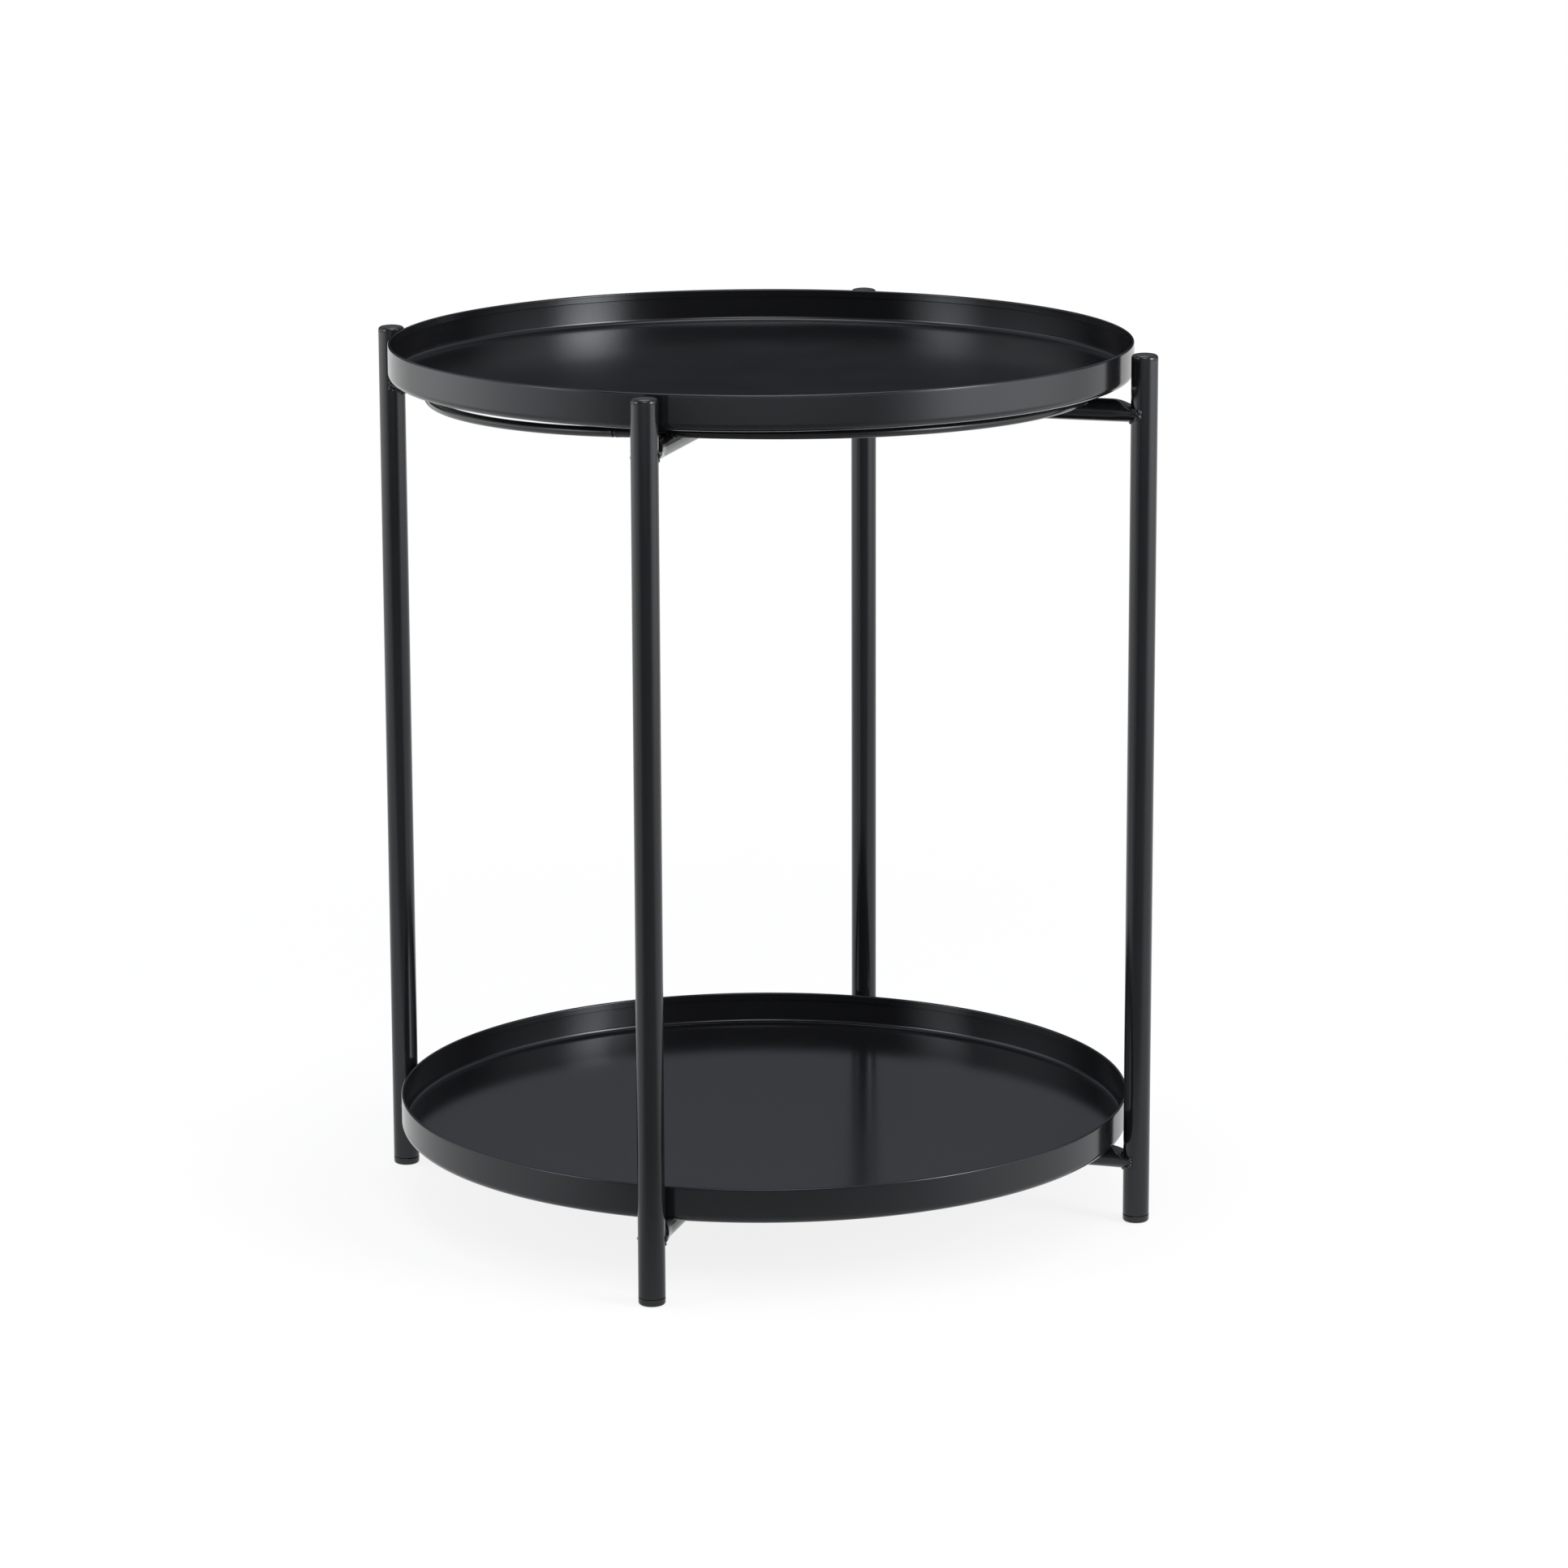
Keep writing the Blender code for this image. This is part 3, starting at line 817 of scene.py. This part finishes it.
def weld_tree(sizes):
    start = new_tree("weld_beads", sizes)
    spacing, bead, wander, voxel, seed = (tree_input(start, label) for label in sizes)
    path = start.node("GeometryNodeMeshToCurve", inputs={0: tree_input(start, "Geometry")})
    drops = start.node("GeometryNodeCurveToPoints", {"mode": "LENGTH"}, {0: path, "Length": spacing})
    aside = start.node(
        "FunctionNodeRandomValue",
        {"data_type": "FLOAT_VECTOR"},
        {0: (-1.0, -1.0, -1.0), 1: (1.0, 1.0, 1.0), "Seed": seed},
    )
    push = start.node("ShaderNodeVectorMath", {"operation": "SCALE"}, {0: aside, "Scale": wander})
    shaken = start.node("GeometryNodeSetPosition", inputs={0: drops, "Offset": push})
    shares = {2: BEAD_SHARES[0], 3: BEAD_SHARES[1], "Seed": seed + 1.0}
    uneven = start.node("FunctionNodeRandomValue", inputs=shares, output=1)
    size = start.node("GeometryNodeInputNamedAttribute", inputs={"Name": "size"})
    melt = start.node(
        "GeometryNodePointsToVolume",
        {"resolution_mode": "VOXEL_SIZE"},
        {0: shaken, "Voxel Size": voxel, "Radius": bead * uneven * size},
    )
    skin = start.node(
        "GeometryNodeVolumeToMesh",
        {"resolution_mode": "VOXEL_SIZE"},
        {0: melt, "Voxel Size": voxel, "Threshold": MELT_LEVEL},
    )
    spot = start.node("GeometryNodeInputPosition")
    calm = start.node(
        "GeometryNodeBlurAttribute", {"data_type": "FLOAT_VECTOR"}, {0: spot, "Iterations": CALM_PASSES}
    )
    settled = start.node("GeometryNodeSetPosition", inputs={0: skin, "Position": calm})
    return end_tree(settled)


print("weld sizes:", WELD_SIZES)

# %% Paths of the welds
# Size of the beads along a joint and at the ridges' tips, as shares of the bead radius
WELD_SHARES = {"side": (0.85, 1.25), "end": (0.65, 0.90)}
JOINT_MARGIN = 0.0002  # what a joint's path leaves free at both sides of its leg
JOINT_POINTS = 61
JOINT_PASSES = 4  # each brings a point nearer to where the bar meets the leg
SADDLE_TURNS = (math.radians(200), math.radians(340))  # stretch of the wire's round that is welded
SADDLE_POINTS = 9


def joint_path(level, run_size, tip_size):
    """(along, across, up, size) round a bar's end where it meets its leg, on a bar that runs along X."""
    half = LEG_RADIUS - JOINT_MARGIN
    path = []
    for turn in spread(0.0, 2 * math.pi, JOINT_POINTS):
        along = LEG_CIRCLE - LEG_RADIUS
        for _ in range(JOINT_PASSES):
            across, up = bar_point(along, turn)
            inside = min(max(across, -half), half)
            along = LEG_CIRCLE - math.sqrt(LEG_RADIUS**2 - inside**2)
        size = run_size if abs(across) < half else tip_size
        path.append((along, inside, level + up, size))
    return path


def saddle_path(level, side, size):
    """(along, across, up, size) along one side of the ring's seat, on a bar that runs along X."""
    path = []
    for turn in spread(*SADDLE_TURNS, SADDLE_POINTS):
        up = RING_LEVEL + WIRE_RADIUS * math.sin(turn)
        reach = math.sqrt(max(BAR_RADIUS**2 - (up - level) ** 2, 0.0))
        along = math.sqrt(RING_RADIUS**2 - reach**2) + WIRE_RADIUS * math.cos(turn)
        path.append((along, side * reach, min(up, level + BAR_RADIUS), size))
    return path


def path_mesh(name, paths, turn):
    """Loose edges through every path, and the same again on the other end of the bar."""
    points = []
    edges = []
    for spin in (0, math.pi):
        matrix = Matrix.Rotation(turn + spin, 4, "Z")
        for path in paths:
            first = len(points)
            points += [matrix @ Vector(point[:3]) for point in path]
            edges += [(i, i + 1) for i in range(first, len(points) - 1)]
    mesh = bpy.data.meshes.new(name)
    mesh.from_pydata(points, edges, [])
    sizes = [size for path in paths for *_, size in path] * 2
    mesh.attributes.new("size", "FLOAT", "POINT").data.foreach_set("value", sizes)
    return mesh


print("bead sizes:", WELD_SHARES)

# %% Lay the welds of both frames
weld = weld_tree(WELD_SIZES)
for pair, (_, turn) in BARS.items():
    paths = [joint_path(BAR_LEVELS[pair, tier], *WELD_SHARES[pair]) for tier in ("upper", "lower")]
    if pair == "end":
        level = BAR_LEVELS["end", "upper"]
        paths += [saddle_path(level, side, WELD_SHARES["end"][0]) for side in (-1, 1)]
    lines = path_mesh(f"weld_lines_{pair}", paths, turn)
    beads = grow(f"weld_beads_{pair}", weld, WELD_SIZES, "powder_coat", lines)
    seat(f"weld_beads_{pair}", beads, "powder_coat", BODY_OF[f"{pair}_bar_upper"])

# %% [markdown]
# A bolt at each crossing is the pin that the frame folds on. Its low round head has a hexagon socket and
# hides under the tray. A washer parts the two bars, another lies under the nut, and the end of the thread
# shows below. The socket and the nut's corners are cut with Booleans, since a lathe cannot make a
# hexagon.

# %% Shapes of a bolt, a washer and a nut
HEAD_HEIGHT = 0.0026
HEAD_CROWN = 0.6  # share of the head's height that is rounded
SOCKET_WIDTH = 0.0040
SOCKET_DEPTH = 0.0014
THREAD_PITCH = 0.0010
THREAD_DEPTH = 0.0006
NUT_WIDTH = 0.0100
NUT_CHAMFER = 0.0007
WASHER_EDGE = 0.0002
HARDWARE_STEPS = 48


def hexagon(name, width, low, high):
    """A six-sided bar of one width across its flats."""
    return rod(name, width / 2 / math.cos(math.pi / 6), low, high, 6)


def bolt_mesh(name, low, high, head_radius, thread_top):
    crown = HEAD_HEIGHT * HEAD_CROWN
    foot = high - HEAD_HEIGHT
    outline = [(0, high)] + arc((head_radius - crown, high - crown), crown, 90, 0)
    outline += [(head_radius, foot), (BOLT_RADIUS, foot)]
    for turn in range(int((thread_top - low) / THREAD_PITCH)):
        crest = thread_top - turn * THREAD_PITCH
        outline += [(BOLT_RADIUS, crest), (BOLT_RADIUS - THREAD_DEPTH, crest - THREAD_PITCH / 2)]
    outline += [(BOLT_RADIUS - THREAD_DEPTH, low), (0, low)]
    socket = hexagon("socket", SOCKET_WIDTH, high - SOCKET_DEPTH, high + SOCKET_DEPTH)
    return smooth(carve(turned(name, outline, HARDWARE_STEPS), [socket]), crease=30)


def washer_mesh(name, low, high, radius):
    bore = BOLT_RADIUS + SEAT_GAP
    edge = WASHER_EDGE
    outline = [(bore, high), (radius - edge, high), (radius, high - edge), (radius, low + edge)]
    outline += [(radius - edge, low), (bore, low)]
    return turned(name, outline, HARDWARE_STEPS, closed=True)


def nut_mesh(name, low, high):
    flat = NUT_WIDTH / 2
    corner = flat / math.cos(math.pi / 6)
    outline = [(0, high), (flat, high), (corner, high - NUT_CHAMFER), (corner, low + NUT_CHAMFER)]
    outline += [(flat, low), (0, low)]
    lens = turned("nut_lens", outline, HARDWARE_STEPS)
    block = carve(hexagon(name, NUT_WIDTH, low, high), [lens], "INTERSECT")
    bore = BOLT_RADIUS + SEAT_GAP / 2
    hole = rod("nut_hole", bore, low - NUT_CHAMFER, high + NUT_CHAMFER, HARDWARE_STEPS)
    return smooth(carve(block, [hole]), crease=25)


print("bolts are", 2 * BOLT_RADIUS, "m thick")

# %% Turn the bolts, washers and nuts
for tier in ("upper", "lower"):
    low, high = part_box(f"pivot_bolt_{tier}")
    nut_low, nut_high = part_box(f"pivot_nut_{tier}")
    hardware = {"pivot_bolt": bolt_mesh(f"bolt_{tier}", low.z, high.z, high.x, nut_high.z)}
    hardware["pivot_nut"] = nut_mesh(f"nut_{tier}", nut_low.z, nut_high.z)
    for kind in ("pivot_washer", "nut_washer"):
        low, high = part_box(f"{kind}_{tier}")
        hardware[kind] = washer_mesh(f"{kind}_disc_{tier}", low.z, high.z, high.x)
    for kind, mesh in hardware.items():
        node = f"{kind}_{tier}"
        seat(f"{kind}_plated_{tier}", mesh, "zinc_plate", BODY_OF[node], node)

# %% [markdown]
# The table stands on a plain white sweep. To the camera and to glossy rays the floor is mostly white by
# itself, which keeps the background even, and the rest of it is white paint that takes the table's soft
# shadow. A grey sheet of painted shade that fades at its edges lies on the floor, from the table's middle
# forwards. Only glossy rays see it. It stands for the floor in shade in front of the table, so that black
# steel facing the camera has something dark to mirror.

# %% Paint of the floor and of the painted shade card
STAGE_ROUGHNESS = 0.9
FLOOR_GREY = 0.9
FLOOR_GLOW = 0.85  # share of the floor near the table that is white by itself
SHADOW_REACH = (0.35, 1.1)  # distances from the middle between which the floor turns all white
# Painted shade: a grey sheet that only reflections see, standing for the floor in shade in front of the table
SHADE_CARD_GREY = 0.22
SHADE_CARD_NEAR = (0.05, 0.52)  # distances in front of the table's middle between which the card fades in
SHADE_CARD_FAR = (3.0, 3.6)  # and out again
SHADE_CARD_SIDES = (0.45, 1.50)  # and to the sides, as shares of the distance in front
CAMERA_AZIMUTH = math.radians(16.22)  # how far the camera stands to the right of the table's front


def stage_material(name, grey):
    material = bpy.data.materials.new(name)
    material.use_nodes = True
    shader = material.node_tree.nodes["Principled BSDF"]
    shader.inputs["Base Color"].default_value = (grey, grey, grey, 1)
    shader.inputs["Roughness"].default_value = STAGE_ROUGHNESS
    shader.inputs["Specular IOR Level"].default_value = 0.0
    return material


def fade(wire, span, first, last):
    """Goes smoothly from first to last while a wire's value crosses a span."""
    inputs = {0: wire, 1: span[0], 2: span[1], 3: first, 4: last}
    return wire.node("ShaderNodeMapRange", {"interpolation_type": "SMOOTHSTEP"}, inputs)


def mix_in(material, other, share):
    """Puts a share of another shader over a material's paint."""
    nodes = material.node_tree.nodes
    paint = Wire(material.node_tree, nodes["Principled BSDF"].outputs[0])
    mixed = share.node("ShaderNodeMixShader", inputs={0: share, 1: paint, 2: other})
    material.node_tree.links.new(mixed.socket, nodes["Material Output"].inputs["Surface"])
    return material


def floor_material():
    material = stage_material("white_sweep", FLOOR_GREY)
    start = Wire(material.node_tree)
    rays = ("Camera", "Glossy", "Transmission")
    seen = [start.node("ShaderNodeLightPath", output=f"Is {ray} Ray") for ray in rays]
    share = start.maths("MINIMUM", seen[0] + seen[1] + seen[2], 1.0)
    place = start.node("ShaderNodeTexCoord", output="Object")
    distance = start.node("ShaderNodeVectorMath", {"operation": "LENGTH"}, {0: place}, output="Value")
    glow = start.node("ShaderNodeEmission", inputs={"Color": (1, 1, 1, 1), "Strength": 1.0})
    return mix_in(material, glow, share * fade(distance, SHADOW_REACH, FLOOR_GLOW, 1.0))


# Painted shade seen in reflections: the grey sheet fades in in front of the table and is clear elsewhere.
def shade_card_material():
    material = stage_material("painted_shade_card", SHADE_CARD_GREY)
    start = Wire(material.node_tree)
    place = start.node("ShaderNodeTexCoord", output="Object")
    inputs = {"Vector": place, "Angle": -CAMERA_AZIMUTH}
    faced = start.node("ShaderNodeVectorRotate", {"rotation_type": "Z_AXIS"}, inputs)
    ahead = 0.0 - faced.axis("Y")
    aside = start.maths("ABSOLUTE", faced.axis("X")) / ahead
    solid = fade(ahead, SHADE_CARD_NEAR, 0.0, 1.0) * fade(ahead, SHADE_CARD_FAR, 1.0, 0.0)
    solid = solid * fade(aside, SHADE_CARD_SIDES, 1.0, 0.0)
    clear = start.node("ShaderNodeBsdfTransparent")
    return mix_in(material, clear, 1.0 - solid)


print("greys of the floor and the card:", FLOOR_GREY, SHADE_CARD_GREY)

# %% Lay the floor and the painted shade card
FLOOR_RADIUS = 40.0
FLOOR_SIDES = 96
FLOOR_DROP = 0.0002  # keeps the floor clear of the feet
SHADE_CARD_LIFT = 0.001


def stage_piece(name, corners, material):
    mesh = bpy.data.meshes.new(name)
    mesh.from_pydata(corners, [], [list(range(len(corners)))])
    mesh.materials.append(material)
    piece = bpy.data.objects.new(name, mesh)
    bpy.context.scene.collection.objects.link(piece)
    piece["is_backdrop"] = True
    return piece


turns = [2 * math.pi * i / FLOOR_SIDES for i in range(FLOOR_SIDES)]
stage_piece(
    "floor",
    [(FLOOR_RADIUS * math.cos(a), FLOOR_RADIUS * math.sin(a), -FLOOR_DROP) for a in turns],
    floor_material(),
)
view_turn = Matrix.Rotation(CAMERA_AZIMUTH, 4, "Z")
shade_card_near = SHADE_CARD_NEAR[0]
shade_card_far = SHADE_CARD_FAR[1]
shade_card_side = SHADE_CARD_SIDES[1] * shade_card_far
shade_card_corners = [
    (-shade_card_side, -shade_card_far),
    (shade_card_side, -shade_card_far),
    (shade_card_side, -shade_card_near),
    (-shade_card_side, -shade_card_near),
]
# The sheet of painted shade lies just above the floor, and only glossy rays see it.
shade_card = stage_piece(
    "painted_shade_card",
    [view_turn @ Vector((x, y, SHADE_CARD_LIFT)) for x, y in shade_card_corners],
    shade_card_material(),
)
shade_card.visible_camera = False
shade_card.visible_diffuse = False
shade_card.visible_shadow = False
print("floor and card laid")

# %% [markdown]
# Black gloss shows the room more than its own colour, so the light is a small studio. The sky is cool,
# dim at the horizon and brighter overhead, which keeps the tray floors dark at a low angle. A key box on
# the right and a weaker fill box on the left draw the bright stripes down the legs and light the trays'
# far walls. A box high in front and one overhead catch the rims, bends and caps, and a wide, weak box on
# each side lifts the outer walls. Each box fades from its middle to its edges.

# %% Sky
# (sine of the angle above the horizon, brightness)
SKY = [(0.0, 0.008), (0.13, 0.010), (0.19, 0.03), (0.27, 0.21), (0.55, 0.42), (1.0, 0.60)]
SKY_TINT = (0.90, 0.93, 1.05)

world = bpy.data.worlds.new("studio")
world.use_nodes = True
bpy.context.scene.world = world
view_ray = Wire(world.node_tree).node("ShaderNodeTexCoord", output="Generated")
rise = view_ray.axis("Z")
sky = rise.node("ShaderNodeValToRGB", {"stops": SKY}, {0: rise})
cool_sky = sky.node("ShaderNodeVectorMath", {"operation": "MULTIPLY"}, {0: sky, 1: SKY_TINT})
world.node_tree.links.new(cool_sky.socket, world.node_tree.nodes["Background"].inputs["Color"])
print("sky from", SKY[0][1], "to", SKY[-1][1])

# %% Soft boxes
SOFT_BOXES = {
    # name: degrees right of the camera, distance, height of the middle, width, height, radiance
    "key_box": (59, 2.2, 1.0, 1.35, 1.9, 11.8),
    "fill_box": (-64, 2.2, 1.0, 1.4, 1.9, 4.4),
    "front_box": (5, 2.0, 1.9, 2.4, 1.5, 4.0),
    "left_box": (-93, 1.3, 0.62, 2.4, 1.9, 1.1),
    "right_box": (72, 1.3, 0.62, 2.4, 1.9, 1.4),
    "top_box": (0, 0.0, 2.4, 2.6, 2.6, 3.0),
}
WATTS_PER_RADIANCE = 4.0  # lamp power for a radiance of 1 on one square metre
AIM_HEIGHT = 0.25


def soften(lamp):
    """Lets a soft box fade from its middle to its edges."""
    lamp.use_nodes = True
    start = Wire(lamp.node_tree)
    spot = start.node("ShaderNodeNewGeometry", output="Parametric")
    glow = 1.0
    for letter in "XY":
        off_middle = start.maths("ABSOLUTE", 2.0 * spot.axis(letter) - 1.0)
        glow = glow * fade(off_middle, (0.0, 1.0), 1.0, 0.0)
    emission = lamp.node_tree.nodes["Emission"]
    emission.inputs["Strength"].default_value = 1.0
    feed(emission, Color=glow)


for name, (right, distance, height, width, tall, radiance) in SOFT_BOXES.items():
    lamp = bpy.data.lights.new(name, "AREA")
    lamp.shape = "RECTANGLE"
    lamp.size = width
    lamp.size_y = tall
    lamp.energy = WATTS_PER_RADIANCE * radiance * width * tall
    soften(lamp)
    box = bpy.data.objects.new(name, lamp)
    bpy.context.scene.collection.objects.link(box)
    turn = CAMERA_AZIMUTH + math.radians(right)
    tilt = math.atan2(height - AIM_HEIGHT, distance)
    box.location = (distance * math.sin(turn), -distance * math.cos(turn), height)
    box.rotation_euler = (math.pi / 2 - tilt, 0, turn)
    box.visible_camera = False
    print(f"{name}: {lamp.energy:.1f} W")

# %% [markdown]
# The photograph was taken with a long lens from a little above the rim, turned about a sixth of a right
# angle to the table's own cross. The camera here looks down at the same angle, with no shift and all in
# focus.

# %% Camera
LENS = 129.3  # in millimetres, as is the sensor
SENSOR = 36.0
FAR_CLIP = 200.0
CAMERA_DISTANCE = 3.15  # from the table's upright middle line
CAMERA_HEIGHT = 0.9521
CAMERA_PITCH = math.radians(12.69)
CAMERA_YAW = math.radians(0.22)
CAMERA_ROLL = math.radians(0.20)

lens = bpy.data.cameras.new("camera")
lens.lens = LENS
lens.sensor_width = SENSOR
lens.clip_end = FAR_CLIP
camera = bpy.data.objects.new("camera", lens)
bpy.context.scene.collection.objects.link(camera)
bpy.context.scene.camera = camera
stand = (
    CAMERA_DISTANCE * math.sin(CAMERA_AZIMUTH),
    -CAMERA_DISTANCE * math.cos(CAMERA_AZIMUTH),
    CAMERA_HEIGHT,
)
camera.matrix_world = (
    Matrix.Translation(stand)
    @ Matrix.Rotation(CAMERA_AZIMUTH - CAMERA_YAW, 4, "Z")
    @ Matrix.Rotation(math.pi / 2 - CAMERA_PITCH, 4, "X")
    @ Matrix.Rotation(-CAMERA_ROLL, 4, "Z")
)
bpy.context.scene.view_settings.view_transform = "Standard"
print("camera at", [round(v, 3) for v in stand])

# %% Sizes of the imported model and of the scene
sizes = {"cad": [list(corner) for corner in cad_bounds], "visual": [list(corner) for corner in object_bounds()]}
print("sizes:", sizes)
